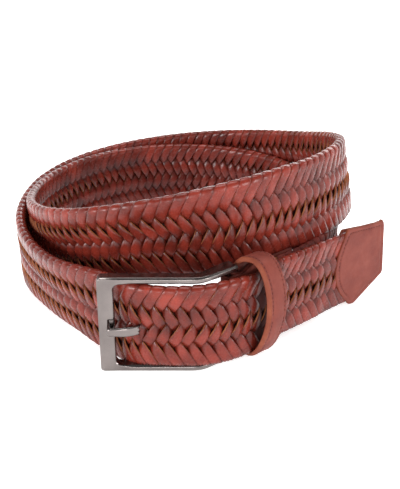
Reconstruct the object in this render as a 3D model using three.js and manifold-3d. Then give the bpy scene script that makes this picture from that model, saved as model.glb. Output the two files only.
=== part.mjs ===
// A woven leather stretch belt with a pin buckle, fastened and coiled in two turns on its edge.
// Millimetres, +Z up. The ground is z = 0, and the origin is under the middle of the belt's box.
// Plan sizes are measured from the coil's centre: turn 0 is at the front (-Y), 90 at the right
// (+X), 180 at the back. Heights are measured from the ground.
import * as THREE from "three";
import { mergeVertices } from "three/addons/utils/BufferGeometryUtils.js";
import Module from "manifold-3d";

// Where the coil's centre lies, so that the origin is under the middle of the whole belt
const COIL_CENTRE = { x: -6.3, y: 0.3 };
const CLEARANCE = 0.3;
const ROUND_SIDES = 28; // of a turned piece
const FOLD_STEPS = 14; // of the tab's half turn round the hinge
const WELL_PAST = 60; // how far a cutting outline reaches through a piece

// Strap
const STRAP_WIDTH = 35;
const STRAP_THICKNESS = 4.2;
const STRAP_EDGE = 1.3; // height of its rounded edge
const STRAP_FLAT = 2; // width of the flat that it rests on
const PRESSED_THICKNESS = 2.4; // at both ends, inside the plain leather
const PRESSED_DEGREES = 12;
const PRESS_TAPER_DEGREES = 5;
const DEGREES_PER_SECTION = 3;

// The strap's route: turn in degrees, radius at mid height, lift of the lower edge off the
// ground, and lean of the upper edge outwards over the lower one.
const STRAP_ROUTE = [
  { turn: 32, radius: 72.2, lift: 0, lean: 0 },
  { turn: 36, radius: 71.4, lift: 0, lean: 0 },
  { turn: 45, radius: 71.0, lift: 0, lean: 0 },
  { turn: 56, radius: 71.2, lift: 0, lean: 0 },
  { turn: 70, radius: 71.7, lift: 0, lean: 0 },
  { turn: 90, radius: 73.0, lift: 0, lean: 0 },
  { turn: 112, radius: 77.3, lift: 0, lean: 0 },
  { turn: 134, radius: 81.8, lift: 1.9, lean: 0 },
  { turn: 155, radius: 84.8, lift: 3.6, lean: 0 },
  { turn: 185, radius: 84.5, lift: 4.8, lean: 0 },
  { turn: 215, radius: 81.2, lift: 4.6, lean: 0 },
  { turn: 243, radius: 75.6, lift: 4.4, lean: 0 },
  { turn: 268, radius: 70.6, lift: 6.0, lean: 1 },
  { turn: 290, radius: 67.3, lift: 10.5, lean: 4 },
  { turn: 312, radius: 65.8, lift: 16.5, lean: 6 },
  { turn: 333, radius: 65.8, lift: 23.2, lean: 6 },
  { turn: 355, radius: 66.3, lift: 29.5, lean: 4.5 },
  { turn: 378, radius: 66.0, lift: 34.0, lean: 2 },
  { turn: 398, radius: 65.8, lift: 35.6, lean: 0 },
  { turn: 416, radius: 68.0, lift: 35.6, lean: -2 },
  { turn: 434, radius: 72.5, lift: 35.6, lean: -4.5 },
  { turn: 450, radius: 76.5, lift: 34.0, lean: -6 },
  { turn: 472, radius: 81.6, lift: 27.5, lean: -5 },
  { turn: 494, radius: 86.8, lift: 19.5, lean: -3 },
  { turn: 520, radius: 90.3, lift: 13.0, lean: 0 },
  { turn: 548, radius: 89.3, lift: 8.6, lean: 0 },
  { turn: 580, radius: 85.1, lift: 5.0, lean: 0 },
  { turn: 603, radius: 80.6, lift: 3.0, lean: 0 },
  { turn: 625, radius: 77.2, lift: 1.0, lean: -1 },
  { turn: 645, radius: 74.3, lift: 0, lean: 2 },
  { turn: 663, radius: 73.0, lift: 0, lean: 6 },
  { turn: 680, radius: 75.2, lift: 0.8, lean: 7 },
  { turn: 698, radius: 81.2, lift: 2.8, lean: 4 },
  { turn: 709, radius: 88.7, lift: 3.1, lean: 1 },
  { turn: 717, radius: 90.0, lift: 3.1, lean: 1 },
  { turn: 726, radius: 88.5, lift: 3.1, lean: 1 },
  { turn: 738, radius: 83.4, lift: 3.1, lean: 0 },
  { turn: 747, radius: 79.3, lift: 2.8, lean: 0 },
  { turn: 756, radius: 76.9, lift: 2.2, lean: 0 },
  { turn: 765, radius: 76.4, lift: 1.8, lean: 0 },
  { turn: 774, radius: 78.1, lift: 1.8, lean: 0 },
  { turn: 781, radius: 80.9, lift: 1.8, lean: 0 },
  { turn: 786, radius: 84.2, lift: 1.8, lean: 0 },
];

// Hinge of the tongue and the tab, beside the strap's inner face
const HINGE_TURN = 735.5;
const HINGE_INSET = 5.3; // from the middle of the strap's thickness
const HINGE_RADIUS = 1.3;

// Buckle frame: its face is straight, then bends back to the hinge
const FRAME_LEFT = -29.5;
const FRAME_FACE = -90.5;
const FRAME_BEND = 10;
const FRAME_BEND_DEGREES = 39;
const FRAME_LIFT = 0.1;
const FRAME_HEIGHT = 41;
const FRAME_CORNER = 1.2;
const SIDE_BAR_HEIGHT = 2.7;
const SIDE_BAR_DEPTH = 5;
const SIDE_BAR_END = 2.6; // past the hinge's centre
const FRONT_BAR_WIDTH = 6;
const FRONT_BAR_DEPTH = 4;
const WINDOW_CORNER = 2.5;
const TONGUE_SEAT = { width: 2, height: 8, depth: 1, middle: 19.6 };

// Tongue, from its eye round the hinge, through the weave, to its tip on the front bar
const TONGUE_MIDDLE = 18.5;
const TONGUE_HEIGHT = 4;
const TONGUE_TIP_HEIGHT = 3.2;
const TONGUE_THICKNESS = 1.8;
const TONGUE_EYE_WALL = 1.1;
const TONGUE_CORNER = 0.3; // of half its thickness
const TONGUE_STEPS = 5; // between two points of its route
const TONGUE_ROUTE = [
  { x: 20.7, y: -78.5 },
  { x: 13.6, y: -82.5 },
  { x: 8.3, y: -84.7 },
  { x: 2.6, y: -86.0 },
  { x: -3.1, y: -86.5 },
  { x: -8, y: -87.2 },
  { x: -12.5, y: -89.0 },
  { x: -17, y: -91.1 },
  { x: -21, y: -91.8 },
  { x: -26.5, y: -91.8 },
];
const TONGUE_WEAVE_FROM = 4; // the first point of the route that is near the weave

// Buckle tab: a leather fold round the hinge, whose two leaves hold the strap's first end.
// Its middle line goes by the strap's route: turn, offset outwards, and half the space inside.
const TAB_LEAF = 1.2;
const TAB_BOTTOM = 5;
const TAB_HEIGHT = 31;
const TAB_NECK_HEIGHT = 25;
const TAB_NECK_LENGTH = 21;
const TAB_SLOT_HEIGHT = 5.2;
const TAB_SLOT_LENGTH = 9;
const TAB_DEGREES = 41; // between +X and the way that its neck and slot run
const TAB_ROUTE = [
  { turn: 737.5, offset: -4.2, gap: 0.5 },
  { turn: 740, offset: -3.8, gap: 0.1 },
  { turn: 743, offset: -3.7, gap: 0.1 },
  { turn: 748, offset: -4, gap: 0.2 },
  { turn: 31, offset: 0, gap: 1.4 },
  { turn: 34, offset: 0, gap: 1.5 },
  { turn: 37, offset: 0, gap: 1.5 },
  { turn: 40, offset: 0, gap: 1.5 },
  { turn: 43, offset: 0, gap: 1.5 },
];

// Keeper: an oval loop round the tab and the strap, from the middle of its left opening
const KEEPER_PLACE = { x: 28.2, y: -80.1 };
const KEEPER_DEGREES = 40; // between +X and the way that the strap runs through it
const KEEPER_LENGTH = 9.4;
const KEEPER_LIFT = 0.1;
const KEEPER_HEIGHT = 43.6;
const KEEPER_FRONT = 11.2;
const KEEPER_BACK = 11.7;
const KEEPER_WALL = 1.9;
const KEEPER_LEAN = 2; // of its front half's top outwards, and of its bottom inwards
const KEEPER_SQUARENESS = { front: 1.85, back: 2.8 };
const KEEPER_SLANT = 0.15; // how far its back half trails to the left
const KEEPER_SIDES = 64;

// Tip tab over the strap's last end: a leather leaf on each face, wider at the arched end
const TIP_PLACE = { x: 70.8, y: -38.4 };
const TIP_DEGREES = 37;
const TIP_ARCH = -12; // control point of the arched edge
const TIP_OUTLINE = [
  { along: 4.5, height: 1.2, round: 1.5 },
  { along: 8, height: 0.8, round: 1 },
  { along: 25.6, height: 10.4, round: 1.6 },
  { along: 23, height: 36.6, round: 1.6 },
  { along: 0.5, height: 38.6, round: 1.2 },
];
const TIP_THICKNESS = { arched: 5.8, free: 3 };

const wasm = await Module();
wasm.setup();

const radians = THREE.MathUtils.degToRad;

function solidOf(geometry) {
  const bare = geometry.clone();
  bare.deleteAttribute("normal");
  bare.deleteAttribute("uv");
  const merged = mergeVertices(bare, 1e-4);
  const mesh = { numProp: 3, vertProperties: merged.attributes.position.array };
  mesh.triVerts = new Uint32Array(merged.index.array);
  return new wasm.Manifold(new wasm.Mesh(mesh));
}

function geometryOf(solid) {
  const mesh = solid.getMesh();
  const geometry = new THREE.BufferGeometry();
  geometry.setAttribute("position", new THREE.BufferAttribute(mesh.vertProperties, 3));
  geometry.setIndex(new THREE.BufferAttribute(mesh.triVerts, 1));
  geometry.computeVertexNormals();
  return geometry;
}

// A closed body through rings of equally many points, each seen anticlockwise from the next
function loft(rings) {
  const sides = rings[0].length;
  const positions = rings.flat().flatMap((point) => [point.x, point.y, point.z]);
  const index = [];
  for (let ring = 0; ring < rings.length - 1; ring++) {
    for (let side = 0; side < sides; side++) {
      const a = ring * sides + side;
      const b = ring * sides + ((side + 1) % sides);
      index.push(a, b, b + sides, a, b + sides, a + sides);
    }
  }
  const last = (rings.length - 1) * sides;
  for (let side = 1; side < sides - 1; side++) {
    index.push(0, side + 1, side);
    index.push(last, last + side, last + side + 1);
  }
  const geometry = new THREE.BufferGeometry();
  geometry.setAttribute("position", new THREE.Float32BufferAttribute(positions, 3));
  geometry.setIndex(index);
  return geometry;
}

// A shape with a rounded corner at each point of a closed outline
function roundedShape(corners) {
  const shape = new THREE.Shape();
  corners.forEach(({ x, y, round }, i) => {
    const here = new THREE.Vector2(x, y);
    const before = corners[(i + corners.length - 1) % corners.length];
    const after = corners[(i + 1) % corners.length];
    const from = new THREE.Vector2(before.x, before.y).sub(here).setLength(round).add(here);
    const to = new THREE.Vector2(after.x, after.y).sub(here).setLength(round).add(here);
    if (i === 0) shape.moveTo(from.x, from.y);
    else shape.lineTo(from.x, from.y);
    if (round > 0) shape.quadraticCurveTo(x, y, to.x, to.y);
  });
  shape.closePath();
  return shape;
}

function upright(shape, bottom, height, curveSegments = 4) {
  const geometry = new THREE.ExtrudeGeometry(shape, {
    depth: height,
    bevelEnabled: false,
    curveSegments,
  });
  return solidOf(geometry.translate(0, 0, bottom));
}

// A solid whose outline is drawn along a wall and up it, centred on the wall's plane
function standing(shape, thickness, curveSegments = 6) {
  const geometry = new THREE.ExtrudeGeometry(shape, {
    depth: thickness,
    bevelEnabled: false,
    curveSegments,
  });
  return geometry.translate(0, 0, -thickness / 2).rotateX(Math.PI / 2);
}

// The value of one column of a table at a turn, on a smooth curve through the rows
function along(table, column, turn) {
  const last = table.length - 1;
  const slope = (row) => {
    const before = table[Math.max(row - 1, 0)];
    const after = table[Math.min(row + 1, last)];
    return (after[column] - before[column]) / (after.turn - before.turn);
  };
  let row = 0;
  while (row < last - 1 && table[row + 1].turn < turn) row++;
  const width = table[row + 1].turn - table[row].turn;
  const t = (turn - table[row].turn) / width;
  const start = table[row][column] * (2 * t ** 3 - 3 * t ** 2 + 1);
  const end = table[row + 1][column] * (3 * t ** 2 - 2 * t ** 3);
  const startSlope = slope(row) * (t ** 3 - 2 * t ** 2 + t);
  const endSlope = slope(row + 1) * (t ** 3 - t ** 2);
  return start + end + width * (startSlope + endSlope);
}

function routePoint(turn) {
  const radius = along(STRAP_ROUTE, "radius", turn);
  return new THREE.Vector3(
    radius * Math.sin(radians(turn)),
    -radius * Math.cos(radians(turn)),
    0,
  );
}

// The level direction out of the strap's outer face
function routeNormal(turn) {
  const ahead = routePoint(turn + 0.5).sub(routePoint(turn - 0.5)).normalize();
  return new THREE.Vector3(ahead.y, -ahead.x, 0);
}

function offsetPoint(turn, offset) {
  return routePoint(turn).addScaledVector(routeNormal(turn), offset);
}

const FIRST_TURN = STRAP_ROUTE[0].turn;
const LAST_TURN = STRAP_ROUTE[STRAP_ROUTE.length - 1].turn;
const hinge = offsetPoint(HINGE_TURN, -HINGE_INSET);

function strapSection(turn) {
  const lean = along(STRAP_ROUTE, "lean", turn);
  const lift = Math.max(0, along(STRAP_ROUTE, "lift", turn));
  const height = Math.sqrt(STRAP_WIDTH ** 2 - lean ** 2);
  const fromEnd = Math.min(turn - FIRST_TURN, LAST_TURN - turn);
  const fullness = THREE.MathUtils.smoothstep(
    fromEnd,
    PRESSED_DEGREES,
    PRESSED_DEGREES + PRESS_TAPER_DEGREES,
  );
  const thickness = THREE.MathUtils.lerp(PRESSED_THICKNESS, STRAP_THICKNESS, fullness);
  const flat = Math.min(STRAP_FLAT, thickness * 0.6) / 2;
  const side = thickness / 2;
  const outline = [
    { out: -flat, up: 0 },
    { out: flat, up: 0 },
    { out: side, up: STRAP_EDGE },
    { out: side, up: height - STRAP_EDGE },
    { out: flat, up: height },
    { out: -flat, up: height },
    { out: -side, up: height - STRAP_EDGE },
    { out: -side, up: STRAP_EDGE },
  ];
  return outline.map(({ out, up }) => {
    const leant = out + lean * (up / height - 0.5);
    return offsetPoint(turn, leant).setZ(lift + up);
  });
}

function wovenStrap() {
  const sections = Math.round((LAST_TURN - FIRST_TURN) / DEGREES_PER_SECTION);
  const rings = [];
  for (let i = 0; i <= sections; i++) {
    const turn = THREE.MathUtils.lerp(FIRST_TURN, LAST_TURN, i / sections);
    rings.push(strapSection(turn).reverse());
  }
  return solidOf(loft(rings)).subtract(tongueBody(TONGUE_WEAVE_FROM, CLEARANCE));
}

// The tongue's bar from one point of its route to the tip, grown on every side
function tongueBody(first, grown) {
  const points = TONGUE_ROUTE.slice(first).map(({ x, y }) => new THREE.Vector3(x, y, 0));
  const curve = new THREE.CatmullRomCurve3(points, false, "centripetal");
  const steps = TONGUE_STEPS * (points.length - 1);
  const rings = [];
  for (let i = 0; i <= steps; i++) {
    const t = i / steps;
    const centre = curve.getPoint(t);
    const ahead = curve.getTangent(t);
    const out = new THREE.Vector3(-ahead.y, ahead.x, 0);
    const last = THREE.MathUtils.smoothstep(i, steps - TONGUE_STEPS, steps);
    const height = THREE.MathUtils.lerp(TONGUE_HEIGHT, TONGUE_TIP_HEIGHT, last);
    const up = height / 2 + grown;
    const side = TONGUE_THICKNESS / 2 + grown;
    const corner = TONGUE_CORNER * side;
    const outline = [
      { out: side, up: corner - up },
      { out: side, up: up - corner },
      { out: side - corner, up },
      { out: corner - side, up },
      { out: -side, up: up - corner },
      { out: -side, up: corner - up },
      { out: corner - side, up: -up },
      { out: side - corner, up: -up },
    ];
    rings.push(
      outline.map((place) =>
        centre.clone().addScaledVector(out, place.out).setZ(TONGUE_MIDDLE + place.up),
      ),
    );
  }
  return solidOf(loft(rings));
}

function buckleTongue() {
  const inner = HINGE_RADIUS + CLEARANCE;
  const outer = inner + TONGUE_EYE_WALL;
  const half = TONGUE_HEIGHT / 2;
  const profile = [
    new THREE.Vector2(inner, -half),
    new THREE.Vector2(outer, -half),
    new THREE.Vector2(outer, half),
    new THREE.Vector2(inner, half),
    new THREE.Vector2(inner, -half),
  ];
  const eye = new THREE.LatheGeometry(profile, ROUND_SIDES).rotateX(Math.PI / 2);
  eye.translate(hinge.x, hinge.y, TONGUE_MIDDLE);
  const hole = new THREE.CylinderGeometry(inner, inner, FRAME_HEIGHT, ROUND_SIDES);
  hole.rotateX(Math.PI / 2).translate(hinge.x, hinge.y, TONGUE_MIDDLE);
  return solidOf(eye).add(tongueBody(0, 0)).subtract(solidOf(hole));
}

function buckleFrame() {
  const bend = radians(FRAME_BEND_DEGREES);
  const ahead = new THREE.Vector3(Math.cos(bend), Math.sin(bend), 0);
  const inward = new THREE.Vector3(-Math.sin(bend), Math.cos(bend), 0);
  const start = new THREE.Vector3(FRAME_BEND, FRAME_FACE, 0);
  const reach = hinge.clone().sub(start).dot(ahead) + SIDE_BAR_END;
  const depth = hinge.clone().sub(start).dot(inward) + SIDE_BAR_END;
  const outerEnd = start.clone().addScaledVector(ahead, reach);
  const innerEnd = outerEnd.clone().addScaledVector(inward, depth);
  const behindHinge = innerEnd.clone().addScaledVector(ahead, -2 * SIDE_BAR_END);
  const innerFace = FRAME_FACE + SIDE_BAR_DEPTH;
  const windowLeft = FRAME_LEFT + FRONT_BAR_WIDTH;
  const plan = roundedShape([
    { x: FRAME_LEFT, y: FRAME_FACE, round: FRAME_CORNER },
    { x: FRAME_BEND, y: FRAME_FACE, round: 4 },
    { x: outerEnd.x, y: outerEnd.y, round: 1.6 },
    { x: innerEnd.x, y: innerEnd.y, round: 2 },
    { x: behindHinge.x, y: behindHinge.y, round: 1 },
    { x: FRAME_BEND - SIDE_BAR_DEPTH / 2, y: innerFace, round: 3 },
    { x: windowLeft + WINDOW_CORNER, y: innerFace, round: 1 },
    { x: windowLeft, y: FRAME_FACE + FRONT_BAR_DEPTH, round: 1 },
    { x: FRAME_LEFT, y: FRAME_FACE + FRONT_BAR_DEPTH, round: FRAME_CORNER },
  ]);
  const right = outerEnd.x + SIDE_BAR_DEPTH;
  const top = FRAME_LIFT + FRAME_HEIGHT;
  const facing = roundedShape([
    { x: FRAME_LEFT, y: FRAME_LIFT, round: FRAME_CORNER },
    { x: right, y: FRAME_LIFT, round: 0 },
    { x: right, y: top, round: 0 },
    { x: FRAME_LEFT, y: top, round: FRAME_CORNER },
  ]);
  const window = roundedShape([
    { x: windowLeft, y: FRAME_LIFT + SIDE_BAR_HEIGHT, round: WINDOW_CORNER },
    { x: right + 1, y: FRAME_LIFT + SIDE_BAR_HEIGHT, round: 0 },
    { x: right + 1, y: top - SIDE_BAR_HEIGHT, round: 0 },
    { x: windowLeft, y: top - SIDE_BAR_HEIGHT, round: WINDOW_CORNER },
  ]);
  const face = solidOf(standing(facing, WELL_PAST).translate(0, FRAME_FACE, 0));
  const opening = solidOf(standing(window, WELL_PAST).translate(0, FRAME_FACE, 0));
  const seat = new THREE.BoxGeometry(
    2 * TONGUE_SEAT.width,
    2 * TONGUE_SEAT.depth,
    TONGUE_SEAT.height,
  );
  seat.translate(windowLeft, FRAME_FACE, TONGUE_SEAT.middle);
  const pin = new THREE.CylinderGeometry(
    HINGE_RADIUS,
    HINGE_RADIUS,
    FRAME_HEIGHT - SIDE_BAR_HEIGHT,
    ROUND_SIDES,
  ).rotateX(Math.PI / 2);
  pin.translate(hinge.x, hinge.y, FRAME_LIFT + FRAME_HEIGHT / 2);
  return upright(plan, FRAME_LIFT, FRAME_HEIGHT)
    .intersect(face)
    .subtract(opening)
    .subtract(solidOf(seat))
    .add(solidOf(pin));
}

function buckleTab() {
  const stations = TAB_ROUTE.map(({ turn, offset, gap }) => ({
    place: offsetPoint(turn, offset),
    gap,
  }));
  const middle = [hinge, ...stations.map((station) => station.place)];
  const sideOf = (i) => {
    const before = middle[Math.max(i - 1, 0)];
    const after = middle[Math.min(i + 1, middle.length - 1)];
    const ahead = after.clone().sub(before).normalize();
    return new THREE.Vector3(ahead.y, -ahead.x, 0);
  };
  // The line at one side of the middle: 1 is outwards, -1 inwards
  const line = (side, leaf) =>
    stations.map(({ place, gap }, i) =>
      place.clone().addScaledVector(sideOf(i + 1), side * (gap + leaf)),
    );
  const fold = (radius) => {
    const start = sideOf(0);
    const from = Math.atan2(start.y, start.x);
    return Array.from({ length: FOLD_STEPS + 1 }, (_, i) => {
      const angle = from - (Math.PI * i) / FOLD_STEPS;
      return new THREE.Vector3(
        hinge.x + radius * Math.cos(angle),
        hinge.y + radius * Math.sin(angle),
        0,
      );
    });
  };
  const insideFold = HINGE_RADIUS + CLEARANCE;
  const outline = [
    ...line(1, TAB_LEAF).reverse(),
    ...fold(insideFold + TAB_LEAF),
    ...line(-1, TAB_LEAF),
    ...line(-1, 0).reverse(),
    ...fold(insideFold).reverse(),
    ...line(1, 0),
  ];
  const shape = new THREE.Shape(outline.map(({ x, y }) => new THREE.Vector2(x, y)));
  const tab = upright(shape, TAB_BOTTOM, TAB_HEIGHT);
  const trim = (TAB_HEIGHT - TAB_NECK_HEIGHT) / 2;
  const neck = new THREE.BoxGeometry(2 * TAB_NECK_LENGTH, TAB_NECK_LENGTH, 2 * trim);
  neck.rotateZ(radians(TAB_DEGREES)).translate(hinge.x, hinge.y, 0);
  const slot = new THREE.BoxGeometry(2 * TAB_SLOT_LENGTH, TAB_SLOT_LENGTH, TAB_SLOT_HEIGHT);
  slot.rotateZ(radians(TAB_DEGREES)).translate(hinge.x, hinge.y, TONGUE_MIDDLE);
  return tab
    .subtract(solidOf(neck.clone().translate(0, 0, TAB_BOTTOM)))
    .subtract(solidOf(neck.translate(0, 0, TAB_BOTTOM + TAB_HEIGHT)))
    .subtract(solidOf(slot));
}

function keeper() {
  const ahead = new THREE.Vector3(
    Math.cos(radians(KEEPER_DEGREES)),
    Math.sin(radians(KEEPER_DEGREES)),
    0,
  );
  const out = new THREE.Vector3(ahead.y, -ahead.x, 0);
  const oval = (shrunk, length) => {
    return Array.from({ length: KEEPER_SIDES }, (_, i) => {
      const angle = (2 * Math.PI * i) / KEEPER_SIDES;
      const level = Math.cos(angle);
      const rise = Math.sin(angle);
      const reach = (level > 0 ? KEEPER_FRONT : KEEPER_BACK) - shrunk;
      const half = KEEPER_HEIGHT / 2 - shrunk;
      const power = 2 / (level > 0 ? KEEPER_SQUARENESS.front : KEEPER_SQUARENESS.back);
      const up = half * Math.sign(rise) * Math.abs(rise) ** power;
      const leant = (KEEPER_LEAN * up * (1 + level)) / KEEPER_HEIGHT;
      const across = reach * Math.sign(level) * Math.abs(level) ** power + leant;
      return new THREE.Vector3(KEEPER_PLACE.x, KEEPER_PLACE.y, KEEPER_LIFT + KEEPER_HEIGHT / 2)
        .addScaledVector(out, across)
        .addScaledVector(ahead, length + KEEPER_SLANT * Math.min(across, 0))
        .add(new THREE.Vector3(0, 0, up));
    });
  };
  const body = loft([oval(0, KEEPER_LENGTH), oval(0, 0)]);
  const hole = loft([oval(KEEPER_WALL, KEEPER_LENGTH + 1), oval(KEEPER_WALL, -1)]);
  return solidOf(body).subtract(solidOf(hole));
}

function tipTab() {
  const outline = TIP_OUTLINE.map(({ along: x, height: y, round }) => ({ x, y, round }));
  const shape = roundedShape(outline);
  const arch = new THREE.Shape();
  const [low] = TIP_OUTLINE;
  const high = TIP_OUTLINE[TIP_OUTLINE.length - 1];
  arch.moveTo(high.along + 1, high.height - 0.2);
  arch.lineTo(high.along, high.height - 0.1);
  arch.quadraticCurveTo(TIP_ARCH, (high.height + low.height) / 2, low.along, low.height + 0.1);
  arch.lineTo(low.along + 1, low.height + 0.2);
  arch.closePath();
  const taper = (geometry) => {
    const place = geometry.attributes.position;
    const [, , end] = TIP_OUTLINE;
    const span = end.along - TIP_ARCH / 2;
    for (let i = 0; i < place.count; i++) {
      const share = (place.getX(i) - TIP_ARCH / 2) / span;
      const thickness = THREE.MathUtils.lerp(TIP_THICKNESS.arched, TIP_THICKNESS.free, share);
      place.setY(i, (place.getY(i) * thickness) / TIP_THICKNESS.arched);
    }
    return geometry;
  };
  const leaves = (drawn) => {
    const geometry = taper(standing(drawn, TIP_THICKNESS.arched, 10));
    geometry.rotateZ(radians(TIP_DEGREES)).translate(TIP_PLACE.x, TIP_PLACE.y, 0);
    return solidOf(geometry);
  };
  return leaves(shape).add(leaves(arch)).subtract(strapEndPocket());
}

// The strap's last end, grown by the clearance, so that the tip's leaves stand off it
function strapEndPocket() {
  const steps = 8;
  const rings = [];
  for (let i = 0; i <= steps; i++) {
    const turn = THREE.MathUtils.lerp(LAST_TURN - 2 * PRESSED_DEGREES, LAST_TURN + 0.5, i / steps);
    const half = PRESSED_THICKNESS / 2 + CLEARANCE;
    const corners = [
      offsetPoint(turn, -half).setZ(-1),
      offsetPoint(turn, half).setZ(-1),
      offsetPoint(turn, half).setZ(STRAP_WIDTH + 2 + CLEARANCE),
      offsetPoint(turn, -half).setZ(STRAP_WIDTH + 2 + CLEARANCE),
    ];
    rings.push(corners.reverse());
  }
  return solidOf(loft(rings));
}

function piece(name, solid, color, roughness, metalness) {
  const material = new THREE.MeshStandardMaterial({ color, roughness, metalness });
  const mesh = new THREE.Mesh(geometryOf(solid), material);
  mesh.name = name;
  return mesh;
}

const WOVEN_BROWN = 0x8e3a34;
const PLAIN_TAN = 0xa9543f;
const GUNMETAL = 0x8d8784;

const belt = new THREE.Group();
belt.add(
  piece("woven_strap", wovenStrap(), WOVEN_BROWN, 0.4, 0),
  piece("buckle_frame", buckleFrame(), GUNMETAL, 0.25, 1),
  piece("buckle_tongue", buckleTongue(), GUNMETAL, 0.25, 1),
  piece("buckle_tab", buckleTab(), PLAIN_TAN, 0.6, 0),
  piece("keeper", keeper(), PLAIN_TAN, 0.6, 0),
  piece("tip_tab", tipTab(), PLAIN_TAN, 0.6, 0),
);
belt.position.set(COIL_CENTRE.x, COIL_CENTRE.y, 0);

export default belt;
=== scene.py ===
"""A woven leather stretch belt with a pin buckle, fastened and coiled in two turns on its edge.

Tables and sizes are in millimetres, and MM makes them metres. Plan places are measured from the
coil's centre: turn 0 is at the front (-Y), 90 at the right (+X). Heights are measured from the floor.
"""

import math

import bmesh
import bpy
import numpy as np
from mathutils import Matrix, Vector


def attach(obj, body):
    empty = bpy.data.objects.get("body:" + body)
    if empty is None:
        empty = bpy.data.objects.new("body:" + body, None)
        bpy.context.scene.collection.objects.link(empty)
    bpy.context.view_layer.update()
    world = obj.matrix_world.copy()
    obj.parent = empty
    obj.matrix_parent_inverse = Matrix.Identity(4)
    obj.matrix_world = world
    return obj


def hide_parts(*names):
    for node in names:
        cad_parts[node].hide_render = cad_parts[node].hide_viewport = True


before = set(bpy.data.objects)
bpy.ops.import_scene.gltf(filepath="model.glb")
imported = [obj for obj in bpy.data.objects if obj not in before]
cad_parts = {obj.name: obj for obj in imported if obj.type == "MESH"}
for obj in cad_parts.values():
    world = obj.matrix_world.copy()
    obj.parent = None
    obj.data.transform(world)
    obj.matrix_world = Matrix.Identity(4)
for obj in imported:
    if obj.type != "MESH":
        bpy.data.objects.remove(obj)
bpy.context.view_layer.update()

MM = 0.001
COIL_CENTRE = np.array([-6.3, 0.3, 0.0])

# Strap
STRAP_WIDTH = 35.0
STRAP_THICKNESS = 4.2
PRESSED_THICKNESS = 2.4
PRESSED_DEGREES = 12.0
PRESS_TAPER_DEGREES = 5.0

# Turn in degrees, radius at mid height, lift of the lower edge, and lean of the top outwards
STRAP_ROUTE = (
    (32, 72.2, 0, 0),
    (36, 71.4, 0, 0),
    (45, 71.0, 0, 0),
    (56, 71.2, 0, 0),
    (70, 71.7, 0, 0),
    (90, 73.0, 0, 0),
    (112, 77.3, 0, 0),
    (134, 81.8, 1.9, 0),
    (155, 84.8, 3.6, 0),
    (185, 84.5, 4.8, 0),
    (215, 81.2, 4.6, 0),
    (243, 75.6, 4.4, 0),
    (268, 70.6, 6.0, 1),
    (290, 67.3, 10.5, 4),
    (312, 65.8, 16.5, 6),
    (333, 65.8, 23.2, 6),
    (355, 66.3, 29.5, 4.5),
    (378, 66.0, 34.0, 2),
    (398, 65.8, 35.6, 0),
    (416, 68.0, 35.6, -2),
    (434, 72.5, 35.6, -4.5),
    (450, 76.5, 34.0, -6),
    (472, 81.6, 27.5, -5),
    (494, 86.8, 19.5, -3),
    (520, 90.3, 13.0, 0),
    (548, 89.3, 8.6, 0),
    (580, 85.1, 5.0, 0),
    (603, 80.6, 3.0, 0),
    (625, 77.2, 1.0, -1),
    (645, 74.3, 0, 2),
    (663, 73.0, 0, 6),
    (680, 75.2, 0.8, 7),
    (698, 81.2, 2.8, 4),
    (709, 88.7, 3.1, 1),
    (717, 90.0, 3.1, 1),
    (726, 88.5, 3.1, 1),
    (738, 83.4, 3.1, 0),
    (747, 79.3, 2.8, 0),
    (756, 76.9, 2.2, 0),
    (765, 76.4, 1.8, 0),
    (774, 78.1, 1.8, 0),
    (781, 80.9, 1.8, 0),
    (786, 84.2, 1.8, 0),
)

# Turn, and how far the braid's lower edge and top edge are raised and its face moved outwards
STRAP_TRIM = (
    (32, 0.0, 0.0, 0.0),
    (350, 0.0, 0.0, 0.0),
    (374, -4.0, 0.0, 0.0),
    (382, -4.5, 0.0, 0.0),
    (400, -3.8, 0.0, 0.0),
    (420, -3.2, 0.0, 0.0),
    (440, -1.5, 0.0, 0.0),
    (460, 0.0, 0.0, 0.0),
    (685, 0.0, 0.0, 0.0),
    (695, -2.6, -0.2, -0.4),
    (706, -3.0, -0.5, -1.0),
    (710, -1.5, -0.6, -0.2),
    (714, -0.3, -0.6, 0.2),
    (720, -0.3, -0.6, 0.6),
    (730, -1.4, -0.6, 2.0),
    (735, -1.2, -0.6, 2.2),
    (741, -0.5, -1.6, 2.0),
    (747, 0.0, -1.0, 0.8),
    (753, 0.0, 0.0, 0.0),
    (786, 0.0, 0.0, 0.0),
)
TURN_STEP = 0.25
TRIM_SMOOTHING = 25  # steps of the turn that each trim is averaged over

# Flat braid: each strand runs from edge to edge of the strap, over two others and under two
STRANDS = 9
STRAND_PITCH = 4.72  # along the strap
STRAND_FILL = 1.04  # of the pitch
STRAND_THICKNESS = 1.35
STRAND_STEP = 1.0
STRAND_ENDS = 0.6  # short of the strap's ends
BRAID_RADIUS = 1.42  # from the strap's middle to a strand's middle
BRAID_SOFTNESS = 0.9  # of the step where a strand goes under
STRAND_NARROWING = 0.1  # where it goes under
SHINGLE = -0.4  # how far the side of a strand that is further along the strap stands out
SHINGLE_AT_EDGE = 0.15  # share of it left at the strap's edges
SHINGLE_FADE = 7.0  # how far in from the edges it is less
STRAND_SECTION = (
    (-1.0, 0.55),
    (-0.94, 0.84),
    (-0.55, 1.06),
    (0.0, 1.15),
    (0.55, 1.06),
    (0.94, 0.84),
    (1.0, 0.55),
    (1.0, -0.55),
    (0.94, -0.84),
    (0.55, -1.06),
    (0.0, -1.15),
    (-0.55, -1.06),
    (-0.94, -0.84),
    (-1.0, -0.55),
)
CUT_SIDES = (6, 13)  # faces of the section that are cut leather
CORE_MARGIN = 1.35  # from the strap's edges to the near-black core, a sheet of painted shadow that closes the braid's holes
CORE_THICKNESS = 0.3
CORE_STEP = 2.0

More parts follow.
